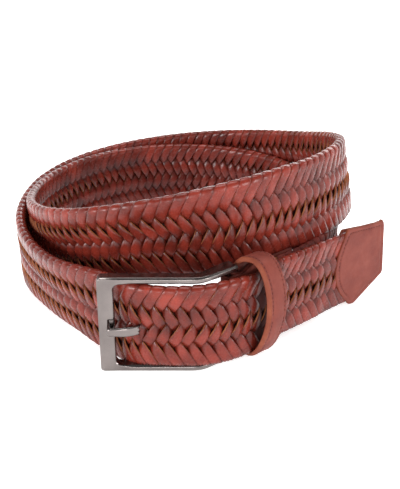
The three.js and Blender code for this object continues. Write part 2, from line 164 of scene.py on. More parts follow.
# Wave and size of the strands' unevenness along the strap, outwards, in thickness and in tint
ALONG_WANDER = (31.0, 0.14)
OUT_WANDER = (23.0, 0.07)
THICKNESS_WANDER = (47.0, 0.04)
TINT_WANDER = (27.0, 0.14)

# Tint of the strands, their own random tone with painted shade where they go under: 0 is darkest and 1 is
# lightest
TINT_UNDER = 0.34  # where a strand goes under, darkest there as painted shade
TINT_RISE = 0.44  # from there to where it lies on top, out of the painted shade
TINT_SIDES = 0.24  # less at a strand's sides
KEEPER_TURNS = (739.0, 743.0, 748.0, 752.0)  # the painted shade in the keeper begins, is full to, and ends
KEEPER_PAINTED_SHADE = 0.85
START_TURNS = (80.0, 100.0)  # between these the dull start of the first turn ends
START_DULL = 0.7

# Hinge of the tongue and the tab
HINGE_TURN = 735.5
HINGE_INSET = 5.3
HINGE_RADIUS = 1.3
CLEARANCE = 0.3

# Buckle frame
FRAME_LEFT = -29.5
FRAME_FACE = -90.5
FRAME_BEND = 10.0
FRAME_BEND_ROUND = 4.0
FRAME_BEND_DEGREES = 39.0
FRAME_BOTTOM = 0.1
FRAME_TOP = 40.5
FRAME_CORNER = 1.2
SIDE_BAR_HEIGHT = 2.7
SIDE_BAR_DEPTH = 5.0
SIDE_BAR_END = 1.8
FRONT_BAR_WIDTH = 6.0
FRONT_BAR_DEPTH = 4.0
WINDOW_CORNER = 2.5
SEAT_MIDDLE = 19.6
SEAT_HALF = 4.0
SEAT_DEPTH = 1.0
SEAT_WIDTH = 1.9
SEAT_SLOPE = 0.7
FRONT_CHAMFER = 1.3
SIDE_CHAMFER = 0.7
CHAMFER_DEPTH = 0.55
EDGE = 0.35
SIDE_INNER_EDGE = 0.8

# Tongue
TONGUE_MIDDLE = 18.5
TONGUE_HEIGHT = 4.0
TONGUE_TIP_HEIGHT = 3.2
TONGUE_THICKNESS = 1.8
TONGUE_EYE_WALL = 1.1
TONGUE_EYE_EDGE = 0.3
TONGUE_SQUARENESS = 2.8
TONGUE_TAPER = 8.0  # how far from its tip it begins to narrow
TONGUE_ROUND = 1.4  # how far from its tip its end is rounded
TONGUE_ROUTE = (
    (20.7, -78.5),
    (13.6, -82.5),
    (8.3, -84.7),
    (2.6, -86.0),
    (-3.1, -86.5),
    (-8.0, -87.2),
    (-12.5, -89.0),
    (-17.0, -91.1),
    (-21.0, -91.8),
    (-26.5, -91.8),
)

# Buckle tab
TAB_LEAF = 1.2
TAB_BOTTOM = 5.0
TAB_TOP = 36.0
TAB_FLANGE_TRIM = 1.0  # past the keeper, behind the strap
TAB_SEAM = 1.6  # from the edges to the stitches
TAB_EDGE = 0.25

# Distance from the hinge, and how much the tab's edges are cut back there, or its top raised
TAB_TRIM = (
    (0.0, 0.5),
    (6.0, 0.5),
    (10.0, -2.0),
    (15.0, -2.0),
    (17.0, TAB_FLANGE_TRIM),
    (60.0, TAB_FLANGE_TRIM),
)
TAB_NECK_LENGTH = 21.0
TAB_SLOT = (15.9, 21.1)
TAB_SLOT_LENGTH = 9.0
TAB_DEGREES = 41.0

# Turn, offset outwards, and half the space inside the fold
TAB_ROUTE = (
    (737.5, -4.2, 0.5),
    (740, -3.8, 0.1),
    (743, -3.7, 0.1),
    (748, -4.0, 0.2),
    (31, 0.0, 1.4),
    (34, 0.0, 1.5),
    (37, 0.0, 1.5),
    (40, 0.0, 1.5),
    (43, 0.0, 1.5),
)

# Keeper
KEEPER_PLACE = (28.2, -80.1)
KEEPER_DEGREES = 40.0
KEEPER_LENGTH = 9.4
KEEPER_BOTTOM = 0.1
KEEPER_HEIGHT = 43.6
KEEPER_FRONT = 11.2
KEEPER_BACK = 11.7
KEEPER_WALL = 1.9
KEEPER_LEAN = 2.0
KEEPER_SQUARENESS = (1.85, 2.8)  # of its front half and its back half
KEEPER_SLANT = 0.15  # how much further left each mm behind its middle starts
KEEPER_SEAMS = (1.95, 8.25)  # of its stitches, from the left edge

# Tip
TIP_PLACE = (70.8, -38.4)
TIP_DEGREES = 37.0
TIP_ARCH = -13.0  # place along of the point that draws the arched edge out
TIP_ARCH_DROP = 3.0  # of that point below the arched edge's middle

# Place along and height of each corner, and how far from it its round begins
TIP_OUTLINE = (
    (4.5, 0.8, 1.5),
    (8.2, 0.3, 0.8),
    (27.4, 10.4, 1.2),
    (25.2, 35.2, 0.8),
    (23.7, 37.6, 0.5),
    (22.0, 36.7, 0.8),
    (0.5, 38.6, 1.0),
)
TIP_SEAM_RUN = (0.46, 0.985)  # share of the outline, from its low corner, where its stitches run
TIP_BACK_TRIM = 1.3  # off the back leaf's top
TIP_THICKNESS = (5.4, 3.0)  # at the arched edge and at the free end
TIP_LEAF = 1.35
TIP_SEAM = 1.9
TIP_STEP = 0.9  # between points of the outline

# Stitches, each in a groove
STITCH_PITCH = 1.75
STITCH_LENGTH = 1.25
STITCH_RADIUS = 0.2
GROOVE_INNER = 0.13
GROOVE_OUTER = 0.35

# Camera, measured from the coil's centre
CAMERA_PLACE = (9.0, -346.0, 168.0)
CAMERA_TILT = 24.0
CAMERA_LENS = 57.05
CAMERA_SENSOR = 36.0

# Floor and lights, in metres and watts
FLOOR_TONE = 0.95
FLOOR_GLOW = 0.6  # light of its own, as a light table has
FLOOR_DROP = 0.0003
FLOOR_SIDES = 72

# Radius and height, from the floor's middle to the top of the backdrop round it
FLOOR_PROFILE = ((1.0, 0.0), (3.0, 0.0), (3.25, 0.03), (3.45, 0.12), (3.57, 0.3), (3.6, 0.6), (3.6, 2.2))

# Name, place, target, size and power
LIGHTS = (
    ("over", (0.0, 0.1, 1.1), (0.0, 0.0, 0.02), (1.0, 0.5), 10.0),
    ("left", (-0.8, -0.75, 0.26), (0.0, 0.0, 0.04), (0.4, 0.22), 7.0),
    ("right", (0.9, -0.65, 0.26), (0.0, 0.0, 0.04), (0.4, 0.22), 5.0),
    ("front", (0.05, -1.1, 0.2), (0.0, 0.0, 0.04), (0.3, 0.16), 2.0),
    ("rim", (0.2, 1.0, 0.5), (0.0, 0.0, 0.05), (1.0, 0.3), 4.5),
)
SKY = 0.2


def smooth(low, high, value):
    t = np.clip((value - low) / (high - low), 0.0, 1.0)
    return t * t * (3.0 - 2.0 * t)


def run_along(line):
    """The length along a line to each of its points."""
    return np.concatenate([[0.0], np.cumsum(np.linalg.norm(np.diff(line, axis=0), axis=1))])


def unit(vectors):
    return vectors / np.linalg.norm(vectors, axis=-1, keepdims=True)


def heading(degrees):
    """The level directions ahead at an angle from +X, and to the right of that."""
    ahead = np.array([math.cos(math.radians(degrees)), math.sin(math.radians(degrees)), 0.0])
    return ahead, np.array([ahead[1], -ahead[0], 0.0])


def table_column(table, column, at):
    """One column of a table at the places given, on a smooth curve through its rows."""
    rows = np.array(table, float)
    x, y = rows[:, 0], rows[:, column]
    slope = np.empty_like(y)
    slope[1:-1] = (y[2:] - y[:-2]) / (x[2:] - x[:-2])
    slope[0] = (y[1] - y[0]) / (x[1] - x[0])
    slope[-1] = (y[-1] - y[-2]) / (x[-1] - x[-2])
    i = np.clip(np.searchsorted(x, at, side="right") - 1, 0, len(x) - 2)
    width = x[i + 1] - x[i]
    t = (at - x[i]) / width
    value = y[i] * (2 * t**3 - 3 * t**2 + 1) + y[i + 1] * (3 * t**2 - 2 * t**3)
    bend = slope[i] * (t**3 - 2 * t**2 + t) + slope[i + 1] * (t**3 - t**2)
    return value + width * bend


def curve_through(points, steps):
    """A smooth curve through points, with the same number of steps between each two."""
    points = np.array(points, float)
    at = np.arange(len(points), dtype=float)
    fine = np.linspace(0.0, at[-1], steps * (len(points) - 1) + 1)
    columns = [table_column(np.column_stack([at, column]), 1, fine) for column in points.T]
    return np.column_stack(columns)


def route_place(turn, offset=0.0):
    """Plan places by the strap's middle line: turn, and offset outwards."""

    def middle(at):
        radius = table_column(STRAP_ROUTE, 1, at)
        return np.stack([radius * np.sin(np.radians(at)), -radius * np.cos(np.radians(at))], -1)

    turn = np.asarray(turn, float)
    ahead = unit(middle(turn + 0.5) - middle(turn - 0.5))
    out = np.stack([ahead[..., 1], -ahead[..., 0]], -1)
    return middle(turn) + out * np.asarray(offset, float)[..., None], out


class Strap:
    """The strap's middle line, by its length from its first end."""

    def __init__(self):
        first, last = STRAP_ROUTE[0][0], STRAP_ROUTE[-1][0]
        turn = np.arange(first, last + 1e-6, TURN_STEP)
        self.turn = turn
        self.plan, self.out = route_place(turn)
        self.length = run_along(self.plan)
        self.total = self.length[-1]
        self.lift = np.maximum(0.0, table_column(STRAP_ROUTE, 2, turn))
        self.lean = table_column(STRAP_ROUTE, 3, turn)
        from_end = np.minimum(turn - first, last - turn)
        full = smooth(PRESSED_DEGREES, PRESSED_DEGREES + PRESS_TAPER_DEGREES, from_end)
        pressed = PRESSED_THICKNESS / STRAP_THICKNESS
        self.full = pressed + full * (1.0 - pressed)
        table = np.array(STRAP_TRIM)
        trims = [np.interp(turn, table[:, 0], table[:, column]) for column in (1, 2, 3)]
        even_out = np.ones(TRIM_SMOOTHING) / TRIM_SMOOTHING
        self.low, self.high, self.bulge = [
            np.convolve(np.pad(trim, TRIM_SMOOTHING // 2, "edge"), even_out, "valid") for trim in trims
        ]
        rise = np.gradient(self.lift, self.length)
        self.slant = rise / (1.0 + rise**2)

    def pick(self, values, along):
        return np.interp(along, self.length, values)

    def place(self, along, out, up):
        """Places in space, from length along the strap, offset outwards and height up its width."""
        # The braid runs square to the strap's middle line where that rises or falls
        along = along - self.pick(self.slant, along) * (up - STRAP_WIDTH / 2)
        share = up / STRAP_WIDTH
        lean = self.pick(self.lean, along)
        height = np.sqrt(1.0 - (lean / STRAP_WIDTH) ** 2)
        out = out * self.pick(self.full, along) + lean * (share - 0.5) + self.pick(self.bulge, along)
        x = self.pick(self.plan[:, 0], along) + self.pick(self.out[:, 0], along) * out
        y = self.pick(self.plan[:, 1], along) + self.pick(self.out[:, 1], along) * out
        trim = self.pick(self.low, along) * (1.0 - share) + self.pick(self.high, along) * share
        return np.stack([x, y, self.pick(self.lift, along) + up * height + trim], axis=-1)


strap = Strap()
hinge = route_place(HINGE_TURN, -HINGE_INSET)[0]


def add_piece(name, points, faces, materials, node, shown=None, smoothed=True):
    """A piece from points in millimetres, with a material number for each face."""
    mesh = bpy.data.meshes.new(name)
    places = (np.asarray(points, float).reshape(-1, 3) + COIL_CENTRE) * MM
    mesh.from_pydata(places.tolist(), [], [list(face) for face in faces])
    for material in materials:
        mesh.materials.append(material)
    if shown is not None:
        mesh.polygons.foreach_set("material_index", np.asarray(shown, np.int32))
    mesh.polygons.foreach_set("use_smooth", [smoothed] * len(mesh.polygons))
    built = bmesh.new()
    built.from_mesh(mesh)
    bmesh.ops.recalc_face_normals(built, faces=built.faces)
    built.to_mesh(mesh)
    built.free()
    piece = bpy.data.objects.new(name, mesh)
    bpy.context.scene.collection.objects.link(piece)
    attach(piece, "root")
    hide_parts(node)
    return piece


def skin(rings, sides, looped=False):
    """Quads between rings of points, with flat ends unless the rings close in a loop."""
    ring = np.arange(rings if looped else rings - 1)[:, None]
    side = np.arange(sides)[None, :]
    after = (ring + 1) % rings
    corners = [ring * sides + side, ring * sides + (side + 1) % sides]
    corners += [after * sides + (side + 1) % sides, after * sides + side]
    faces = np.stack(corners, axis=-1).reshape(-1, 4).tolist()
    if not looped:
        faces.append(list(range(sides))[::-1])
        faces.append([(rings - 1) * sides + i for i in range(sides)])
    return faces


def renumbered(faces, first):
    """Faces for points that come after others, from the number of the first of them."""
    return [[corner + first for corner in face] for face in faces]


# Materials
class Paint:
    """A Principled material and short ways to add nodes to it."""

    def __init__(self, name):
        self.material = bpy.data.materials.new(name)
        self.material.use_nodes = True
        self.nodes = self.material.node_tree.nodes
        self.links = self.material.node_tree.links
        self.shader = self.nodes["Principled BSDF"]
        self.place = self.nodes.new("ShaderNodeTexCoord").outputs["Object"]

    def noise(self, scale, detail=3.0, roughness=0.5):
        node = self.nodes.new("ShaderNodeTexNoise")
        node.inputs["Scale"].default_value = scale
        node.inputs["Detail"].default_value = detail
        node.inputs["Roughness"].default_value = roughness
        self.links.new(self.place, node.inputs["Vector"])
        return node.outputs["Fac"]

    def cells(self, scale):
        node = self.nodes.new("ShaderNodeTexVoronoi")
        node.inputs["Scale"].default_value = scale
        self.links.new(self.place, node.inputs["Vector"])
        return node.outputs["Distance"]

    def attribute(self, name):
        node = self.nodes.new("ShaderNodeAttribute")
        node.attribute_name = name
        return node.outputs["Fac"]

    def ramp(self, value, stops):
        node = self.nodes.new("ShaderNodeValToRGB")
        band = node.color_ramp
        band.elements[0].position = stops[0][0]
        band.elements[0].color = (*stops[0][1], 1.0)
        band.elements[1].position = stops[-1][0]
        band.elements[1].color = (*stops[-1][1], 1.0)
        for position, colour in stops[1:-1]:
            band.elements.new(position).color = (*colour, 1.0)
        self.links.new(value, node.inputs["Fac"])
        return node.outputs["Color"]

    def times(self, first, second):
        node = self.nodes.new("ShaderNodeMix")
        node.data_type = "RGBA"
        node.blend_type = "MULTIPLY"
        node.inputs[0].default_value = 1.0
        self.links.new(first, node.inputs[6])
        self.links.new(second, node.inputs[7])
        return node.outputs[2]

    def spread(self, value, low, high):
        node = self.nodes.new("ShaderNodeMapRange")
        node.inputs["To Min"].default_value = low
        node.inputs["To Max"].default_value = high
        self.links.new(value, node.inputs["Value"])
        return node.outputs["Result"]

    def bump(self, heights):
        """Bumps one on another: each is a height, a strength and a depth in millimetres."""
        normal = None
        for height, strength, depth in heights:
            node = self.nodes.new("ShaderNodeBump")
            node.inputs["Strength"].default_value = strength
            node.inputs["Distance"].default_value = depth * MM
            self.links.new(height, node.inputs["Height"])
            if normal is not None:
                self.links.new(normal, node.inputs["Normal"])
            normal = node.outputs["Normal"]
        self.links.new(normal, self.shader.inputs["Normal"])

    def colour(self, value):
        self.links.new(value, self.shader.inputs["Base Color"])

    def larger(self, first, second):
        node = self.nodes.new("ShaderNodeMath")
        node.operation = "MAXIMUM"
        self.links.new(first, node.inputs[0])
        self.links.new(second, node.inputs[1])
        return node.outputs["Value"]

    def roughness(self, value):
        self.links.new(value, self.shader.inputs["Roughness"])


def woven_leather():
    paint = Paint("woven_leather")
    patches = paint.noise(110.0, 4.0, 0.6)
    tones = (
        (0.3, (0.078, 0.0095, 0.0058)),
        (0.5, (0.132, 0.0162, 0.0095)),
        (0.72, (0.185, 0.0255, 0.0155)),
    )
    # The strands' own tone times painted shade, darker where they go under and inside the keeper
    shades = ((0.0, (0.12, 0.1, 0.1)), (0.5, (0.7, 0.7, 0.7)), (1.0, (1.35, 1.3, 1.3)))
    paint.colour(paint.times(paint.ramp(patches, tones), paint.ramp(paint.attribute("tone_and_shade"), shades)))
    # The strands stay dusty and dull where little light gets in
    dull = paint.spread(paint.attribute("shade"), 0.0, 0.95)
    paint.roughness(paint.larger(paint.spread(paint.noise(700.0, 2.0), 0.2, 0.33), dull))
    paint.shader.inputs["Specular IOR Level"].default_value = 0.28
    paint.bump(((paint.cells(1500.0), 0.25, 0.1), (paint.noise(300.0), 0.3, 0.3)))
    return paint.material


def matte_leather(name, dark, middle, light, grain):
    paint = Paint(name)
    tones = ((0.3, dark), (0.5, middle), (0.7, light))
    paint.colour(paint.ramp(paint.noise(140.0, 5.0, 0.65), tones))
    paint.roughness(paint.spread(paint.noise(600.0, 2.0), 0.5, 0.72))
    paint.shader.inputs["Specular IOR Level"].default_value = 0.22
    paint.bump(((paint.cells(1300.0), grain, 0.12), (paint.noise(240.0), 0.3, 0.3)))
    return paint.material


def polished_metal():
    paint = Paint("gunmetal")
    clouds = paint.noise(90.0, 4.0)
    paint.colour(paint.ramp(clouds, ((0.3, (0.155, 0.135, 0.129)), (0.7, (0.21, 0.184, 0.176)))))
    paint.roughness(paint.spread(clouds, 0.14, 0.26))
    paint.shader.inputs["Metallic"].default_value = 1.0
    paint.bump(((paint.noise(1800.0, 2.0), 0.08, 0.05),))
    return paint.material


woven = woven_leather()
cut_edge = matte_leather("cut_edge", (0.16, 0.045, 0.018), (0.28, 0.09, 0.032), (0.38, 0.14, 0.06), 0.5)
plain = matte_leather("plain_leather", (0.12, 0.021, 0.014), (0.15, 0.029, 0.019), (0.18, 0.04, 0.027), 0.4)
raw_edge = matte_leather("raw_edge", (0.115, 0.022, 0.01), (0.16, 0.035, 0.016), (0.2, 0.052, 0.025), 0.6)
thread = matte_leather("thread", (0.07, 0.012, 0.009), (0.1, 0.02, 0.014), (0.14, 0.03, 0.022), 0.2)
# Near-black leather for the core, painted shadow seen through the braid's holes
painted_shadow_core = matte_leather("painted_shadow_core", (0.01, 0.003, 0.002), (0.02, 0.006, 0.004), (0.035, 0.01, 0.007), 0.4)
gunmetal = polished_metal()


# Woven strap
def wander(rng, at, wave, size):
    """A smooth random value along a strand, of about the size given."""
    value = np.zeros_like(at)
    for share in (1.0, 0.57, 0.31):
        value += np.sin(2 * math.pi * at / (wave * share) + rng.uniform(0, 2 * math.pi)) * share
    return value * size / 1.2


def tongue_by_strap():
    """Where the tongue lies by the strap: length along it, and offset outwards."""
    line = curve_through(TONGUE_ROUTE, 6)
    second = strap.turn > 680.0
    plan, out, length = strap.plan[second], strap.out[second], strap.length[second]
    nearest = np.argmin(np.linalg.norm(line[:, None, :] - plan[None, :, :], axis=2), axis=1)
    offset = np.sum((line - plan[nearest]) * out[nearest], axis=1)
    order = np.argsort(length[nearest])
    return length[nearest][order], offset[order]


def clear_of_tongue(along, out, up):
    """Moves strands to the near side or the far side of the tongue that runs through them."""
    at, offset = tongue_by_strap()
    tongue = np.interp(along, at, offset) - strap.pick(strap.bulge, along)
    height = TONGUE_MIDDLE - strap.pick(strap.lift, along)
    reach = TONGUE_HEIGHT / 2 + STRAND_THICKNESS / 2
    fade_up = 3.5
    fade_along = 3.0
    spare = 0.1
    inside_braid = 1.0
    weight = 1.0 - smooth(reach, reach + fade_up, np.abs(up - height))
    weight *= smooth(at[0] - fade_along, at[0], along) * (1.0 - smooth(at[-1], at[-1] + fade_along, along))
    room = TONGUE_THICKNESS / 2 + STRAND_THICKNESS / 2 + spare
    outside = np.where(np.abs(tongue) > inside_braid, tongue < 0, out > 0)
    moved = np.where(outside, np.maximum(out, tongue + room), np.minimum(out, tongue - room))
    return out + (moved - out) * weight


def strand(index):
    """The points of a strand, with the tint and the dullness at each."""
    flat = STRAP_WIDTH - 2 * BRAID_RADIUS - STRAND_THICKNESS
    crossing = flat + math.pi * BRAID_RADIUS  # from the start of one pass to the next
    slope = STRANDS * STRAND_PITCH / (2 * crossing)
    start = (index - STRANDS) * STRAND_PITCH
    half = STRAND_PITCH * STRAND_FILL / (4 * slope)
    first = (STRAND_ENDS - start) / slope + half
    last = (strap.total - STRAND_ENDS - start) / slope - half
    middle = np.arange(first, last, STRAND_STEP)[:, None]
    q, n = np.array(STRAND_SECTION).T[:, None, :]
    rng = np.random.default_rng(40 + index)
    cell = 2 * crossing / STRANDS

    def step(passes):
        return -np.sin(math.pi * np.clip((middle - passes * crossing - flat / 2) / cell, -1.5, 1.5))

    dip = (1.0 - np.abs(step(np.floor(middle / crossing)))) ** 2
    q = q * (1.0 - STRAND_NARROWING * dip)
    side = middle - q * half
    along = start + (middle + q * half) * slope + wander(rng, middle, *ALONG_WANDER)
    passes = np.floor(side / crossing)
    on = side - passes * crossing
    upward = np.mod(passes, 2) < 0.5
    wave = step(passes)
    level = wave / np.sqrt(wave**2 + BRAID_SOFTNESS**2) * math.sqrt(1 + BRAID_SOFTNESS**2)
    base = BRAID_RADIUS + STRAND_THICKNESS / 2
    up = base + np.where(upward, on, flat - on)
    out = BRAID_RADIUS * level + wander(rng, middle, *OUT_WANDER)
    facing_out = np.where(upward, 1.0, -1.0) * np.ones_like(side)
    facing_up = np.zeros_like(side)
    # Round the strap's edge
    bend = np.clip((on - flat) / BRAID_RADIUS, 0.0, math.pi)
    turned = on > flat
    over = np.where(upward, base + flat + BRAID_RADIUS * np.sin(bend), base - BRAID_RADIUS * np.sin(bend))
    up = np.where(turned, over, up)
    out = np.where(turned, BRAID_RADIUS * np.cos(bend), out)
    facing_out = np.where(turned, facing_out * np.cos(bend), facing_out)
    facing_up = np.where(turned, np.sin(bend), facing_up)
    out = np.where(turned, out, clear_of_tongue(along, out, up))
    from_edge = np.minimum(on, np.abs(flat - on))
    tilt = SHINGLE * (SHINGLE_AT_EDGE + (1.0 - SHINGLE_AT_EDGE) * smooth(0.0, SHINGLE_FADE, from_edge)) * q
    thick = n * STRAND_THICKNESS / 2 * (1.0 + wander(rng, middle, *THICKNESS_WANDER)) + tilt
    points = strap.place(along, out + thick * facing_out, up + thick * facing_up)
    # Painted shade where a strand goes under its neighbours, over its own random tone and darker sides
    tone_and_shade = TINT_UNDER + wander(rng, middle, *TINT_WANDER) + TINT_RISE * np.abs(level)
    tone_and_shade = tone_and_shade - TINT_SIDES * np.abs(q) ** 4
    turn = np.interp(along, strap.length, strap.turn)
    # Painted shade on the strands inside the keeper, where its walls shadow them
    inside = smooth(*KEEPER_TURNS[:2], turn) * (1.0 - smooth(*KEEPER_TURNS[2:], turn))
    # The start of the first turn is in the dark too, behind the tail
    shade = np.maximum(inside, START_DULL * (1.0 - smooth(*START_TURNS, turn)))
    # The tint is darkened by the keeper's painted shade
    return points, np.clip(tone_and_shade * (1.0 - KEEPER_PAINTED_SHADE * inside), 0.0, 1.0), shade


def woven_strap():
    sides = len(STRAND_SECTION)
    for index in range(STRANDS):
        points, tone_and_shade, shade = strand(index)
        rings = len(points)
        shown = np.zeros((rings - 1, sides), int)
        shown[:, CUT_SIDES] = 1
        shown = np.concatenate([shown.ravel(), [1, 1]])
        faces = skin(rings, sides)
        name = f"strand_{index + 1}"
        piece = add_piece(name, points, faces, (woven, cut_edge), "woven_strap", shown)
        for label, values in (("tone_and_shade", tone_and_shade), ("shade", shade)):
            layer = piece.data.attributes.new(label, "FLOAT", "POINT")
            layer.data.foreach_set("value", np.ascontiguousarray(values, np.float32).ravel())


woven_strap()


# A near-black sheet inside the braid, painted shadow in place of the dark seen through its holes
def shadow_core_sheet():
    end = STRAND_ENDS + 1.0
    along = np.arange(end, strap.total - end, CORE_STEP)[:, None]
    reach = CORE_THICKNESS / 2
    low = CORE_MARGIN
    high = STRAP_WIDTH - CORE_MARGIN
    out = np.array([[-reach, reach, reach, -reach]])
    points = strap.place(along, out, np.array([[low, low, high, high]]))
    add_piece("strap_shadow_core", points, skin(len(along), 4), (painted_shadow_core,), "woven_strap")


shadow_core_sheet()


# Stitches
def stitches(name, lines, node):
    """Short arched threads along lines, each given as its points and the directions out."""
    points, faces = [], []
    sides, rings = 8, 7
    for line, outs in lines:
        run = run_along(line)
        count = int(run[-1] // STITCH_PITCH)
        spare = (run[-1] - count * STITCH_PITCH) / 2
        for i in range(count):
            begin = spare + i * STITCH_PITCH + (STITCH_PITCH - STITCH_LENGTH) / 2
            at = begin + np.linspace(0.0, STITCH_LENGTH, rings)
            middle = np.column_stack([np.interp(at, run, line[:, k]) for k in range(3)])
            out = unit(np.column_stack([np.interp(at, run, outs[:, k]) for k in range(3)]))
            across = unit(np.cross(np.gradient(middle, axis=0), out))
            # Its ends are thinner and dip into the leather
            t = np.linspace(-1.0, 1.0, rings)[:, None]
            middle = middle + out * (STITCH_RADIUS * (0.35 - 1.1 * t**4))
            size = STITCH_RADIUS * (1.0 - 0.35 * t**4)
            angle = (np.arange(sides) * 2 * math.pi / sides)[None, :, None]
            facing = np.cos(angle) * out[:, None, :] + np.sin(angle) * across[:, None, :]
            ring = middle[:, None, :] + size[:, :, None] * facing
            faces += renumbered(skin(rings, sides), len(points) * sides * rings)
            points.append(ring.reshape(-1, 3))
    add_piece(name, np.concatenate(points), faces, (thread,), node)


# Keeper
def keeper_place(angle, length, depth):
    """Places in the keeper's wall: angle round it, length from its left edge, depth from outside."""
    ahead, out = heading(KEEPER_DEGREES)
    centre = np.array([*KEEPER_PLACE, KEEPER_BOTTOM + KEEPER_HEIGHT / 2])

    def oval(shrunk):
        level, rise = np.cos(angle), np.sin(angle)
        reach = np.where(level > 0, KEEPER_FRONT, KEEPER_BACK) - shrunk
        power = 2 / np.where(level > 0, *KEEPER_SQUARENESS)
        up = (KEEPER_HEIGHT / 2 - shrunk) * np.sign(rise) * np.abs(rise) ** power
        leant = KEEPER_LEAN * up * (1 + level) / KEEPER_HEIGHT
        return reach * np.sign(level) * np.abs(level) ** power + leant, up

    outside, inside = oval(0.0), oval(KEEPER_WALL)
    share = depth / KEEPER_WALL
    across = outside[0] + (inside[0] - outside[0]) * share
    up = outside[1] + (inside[1] - outside[1]) * share
    run = length + KEEPER_SLANT * np.minimum(across, 0.0)
    places = centre + across[..., None] * out + run[..., None] * ahead
    return places + up[..., None] * np.array([0.0, 0.0, 1.0])


def keeper():
    end = KEEPER_LENGTH
    wall = KEEPER_WALL
    # Length from its left edge, and depth from outside
    profile = [(0.0, 1.3), (0.2, 0.75), (0.65, 0.22), (1.15, 0.03), (1.4, 0.0)]
    for seam in KEEPER_SEAMS:
        profile += [(seam - GROOVE_OUTER, 0.02), (seam - GROOVE_INNER, 0.15)]
        profile += [(seam + GROOVE_INNER, 0.15), (seam + GROOVE_OUTER, 0.02)]
    profile += [(end - 0.35, 0.06), (end - 0.05, 0.3)]
    profile += [(end, 1.45), (end - 0.3, wall), (0.35, wall), (0.0, 1.65)]
    profile = np.array(profile)
    steps = 220
    # Even steps by the keeper's own outline, so that the squarish ends stay round
    angle = np.linspace(0.0, 2 * math.pi, 4000)
    run = run_along(keeper_place(angle, np.zeros_like(angle), np.zeros_like(angle)))
    angle = np.interp(np.arange(steps) * run[-1] / steps, run, angle)
    length, depth = profile.T[:, None, :]
    angles, length, depth = np.broadcast_arrays(angle[:, None], length, depth)
    points = keeper_place(angles, length, depth)
    sides = len(profile)
    shown = np.zeros((steps, sides), int)
    raw_sides = (0, 1, 2, sides - 5, sides - 4, sides - 2, sides - 1)
    shown[:, raw_sides] = 1
    faces = skin(steps, sides, looped=True)
    add_piece("keeper_loop", points, faces, (plain, raw_edge), "keeper", shown.ravel())
    lines = []
    for seam in KEEPER_SEAMS:
        line = keeper_place(angle, np.full(steps, seam), np.full(steps, 0.12))
        deeper = keeper_place(angle, np.full(steps, seam), np.full(steps, 1.2))
        lines.append((line, line - deeper))
    stitches("keeper_stitches", lines, "keeper")


keeper()


# Tip
def rounded_outline(corners, steps=8):
    """An outline through corners, each cut by a curve of its own round."""
    line = []
    for i, (x, y, cut) in enumerate(corners):
        here = np.array([x, y])
        before = np.array(corners[i - 1][:2]) - here
        after = np.array(corners[(i + 1) % len(corners)][:2]) - here
        start = here + unit(before) * cut
        end = here + unit(after) * cut
        for t in np.linspace(0.0, 1.0, steps):
            line.append(start * (1 - t) ** 2 + 2 * here * t * (1 - t) + end * t**2)
    return np.array(line)


def tip_outline():
    outline = rounded_outline(TIP_OUTLINE)
    low, high = outline[0], outline[-1]
    control = np.array([TIP_ARCH, (low[1] + high[1]) / 2 - TIP_ARCH_DROP])
    t = np.linspace(0.0, 1.0, 26)[1:-1, None]
    arch = high * (1 - t) ** 2 + 2 * control * t * (1 - t) + low * t**2
    return np.concatenate([outline, arch])


def even(line, step):
    """A closed line with points at even steps."""
    closed = np.concatenate([line, line[:1]])
    run = run_along(closed)
    at = np.arange(0.0, run[-1], run[-1] / round(run[-1] / step))
    return np.column_stack([np.interp(at, run, closed[:, 0]), np.interp(at, run, closed[:, 1])])


def inset(line, distance):
    """A closed line moved inwards, kept clear of the line that it came from."""
    ahead = unit(np.roll(line, -1, axis=0) - np.roll(line, 1, axis=0))
    moved = line + distance * np.column_stack([-ahead[:, 1], ahead[:, 0]])
    for _ in range(6):
        apart = moved[:, None, :] - line[None, :, :]
        gap = np.linalg.norm(apart, axis=2)
        nearest = np.argmin(gap, axis=1)
        rows = np.arange(len(moved))
        short = np.maximum(distance - gap[rows, nearest], 0.0) / np.maximum(gap[rows, nearest], 1e-6)
        moved = moved + apart[rows, nearest] * short[:, None]
    # Spreads the points that the move brought together at a corner
    for _ in range(round(distance * 6)):
        moved = (np.roll(moved, -1, axis=0) + 2 * moved + np.roll(moved, 1, axis=0)) / 4
    return moved


def tip():
    ahead, out = heading(TIP_DEGREES)
    outline = even(tip_outline(), TIP_STEP)
    # Distance in from the edge, and depth below the leaf's face
    rings = ((0.0, TIP_LEAF), (0.0, 0.45), (0.12, 0.15), (0.4, 0.02), (TIP_SEAM - GROOVE_OUTER, 0.02))
    rings += ((TIP_SEAM - GROOVE_INNER, 0.14), (TIP_SEAM + GROOVE_INNER, 0.14))
    rings += ((TIP_SEAM + GROOVE_OUTER, 0.02), (TIP_SEAM + 1.2, 0.0))
    span = TIP_OUTLINE[2][0] - TIP_ARCH / 2

    def stand(line, depth, side):
        share = (line[:, 0] - TIP_ARCH / 2) / span
        half = (TIP_THICKNESS[0] + (TIP_THICKNESS[1] - TIP_THICKNESS[0]) * share) / 2
        across = side * (half - depth)
        flat = np.array([*TIP_PLACE, 0.0]) + line[:, :1] * ahead + line[:, 1:] * np.array([0.0, 0.0, 1.0])
        return flat + across[:, None] * out

    for side, name in ((1.0, "front"), (-1.0, "back")):
        if side < 0:
            outline = outline * [1.0, 1.0 - TIP_BACK_TRIM / TIP_OUTLINE[-1][1]]
        points = [stand(inset(outline, distance), depth, side) for distance, depth in rings]
        sides = len(outline)
        faces = skin(len(rings), sides)
        shown = np.zeros((len(rings) - 1, sides), int)
        shown[:2] = 1
        shown = np.concatenate([shown.ravel(), [0, 0]])
        piece = f"tip_{name}"
        made = add_piece(
            piece, np.concatenate(points), faces, (plain, raw_edge), "tip_tab", shown
        )
        made.data.polygons[-1].use_smooth = False
        begin, end = [int(share * len(outline)) for share in TIP_SEAM_RUN]
        seam = inset(outline, TIP_SEAM)[begin:end]
        outs = np.tile(side * out, (len(seam), 1))
        stitches(f"{piece}_stitches", [(stand(seam, 0.12, side), outs)], "tip_tab")


tip()


